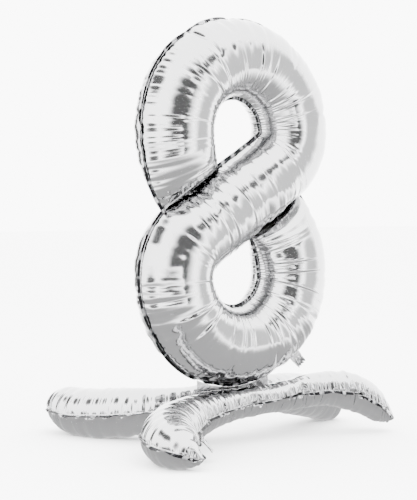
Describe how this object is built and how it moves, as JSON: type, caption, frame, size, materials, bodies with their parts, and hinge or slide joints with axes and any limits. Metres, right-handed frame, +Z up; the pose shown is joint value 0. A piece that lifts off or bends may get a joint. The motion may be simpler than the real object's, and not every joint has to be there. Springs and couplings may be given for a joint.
{
  "type": "foil number balloon",
  "caption": "Silver foil number eight balloon that stands upright on two crescent foil tube feet welded along its bottom edge, with straw fill necks.",
  "frame": {"origin": "middle of the outline on the floor the balloon stands on", "axes": "+Z up, -Y is the side the figure is read from, +X to the right of someone who reads it"},
  "size_m": [0.588, 0.5172, 0.708],
  "materials": {
    "foil": "metallised film, mirror bright, puckered along the welds",
    "welded_edge": "heat sealed double foil, ruffled",
    "neck_foil": "flat metallised film, creased",
    "valve_film": "thin clear polyethylene film"
  },
  "bodies": {
    "front_base": {"front_base_top_sheet": "foil", "front_base_bottom_sheet": "foil", "front_base_waist_tab": "welded_edge", "front_base_valve_top_film": "valve_film", "front_base_valve_bottom_film": "valve_film"},
    "rear_base": {"rear_base_top_sheet": "foil", "rear_base_bottom_sheet": "foil", "rear_base_waist_tab": "welded_edge", "rear_base_valve_top_film": "valve_film", "rear_base_valve_bottom_film": "valve_film"},
    "number": {"number_front_sheet": "foil", "number_back_sheet": "foil", "number_foot_tab": "welded_edge", "number_valve_front_film": "valve_film", "number_valve_back_film": "valve_film"},
    "number_neck": {"number_fill_neck": "neck_foil"},
    "front_base_neck": {"front_base_fill_neck": "neck_foil"},
    "rear_base_neck": {"rear_base_fill_neck": "neck_foil"}
  },
  "joints": [
    {"name": "number_sway", "type": "hinge", "parent": "front_base", "child": "number", "pos_m": [-0.023, -0.048, 0.086], "axis": [1, 0, 0], "range_deg": [-10, 10], "stiffness_Nm_per_rad": 1.5},
    {"name": "rear_base_fold", "type": "hinge", "parent": "front_base", "child": "rear_base", "pos_m": [-0.023, -0.048, 0.086], "axis": [1, 0, 0], "range_deg": [-5, 14], "stiffness_Nm_per_rad": 3},
    {"name": "number_neck_flex", "type": "hinge", "parent": "number", "child": "number_neck", "pos_m": [0.10713, -0.048, 0.13946], "axis": [0.7314, 0, 0.682], "range_deg": [-60, 60], "stiffness_Nm_per_rad": 0.004},
    {"name": "front_base_neck_flex", "type": "hinge", "parent": "front_base", "child": "front_base_neck", "pos_m": [-0.19285, -0.18728, 0.039], "axis": [0.6544, 0.7562, 0], "range_deg": [-35, 40], "stiffness_Nm_per_rad": 0.004},
    {"name": "rear_base_neck_flex", "type": "hinge", "parent": "rear_base", "child": "rear_base_neck", "pos_m": [-0.14335, 0.15216, 0.039], "axis": [-0.2962, 0.9551, 0], "range_deg": [-35, 40], "stiffness_Nm_per_rad": 0.004}
  ]
}
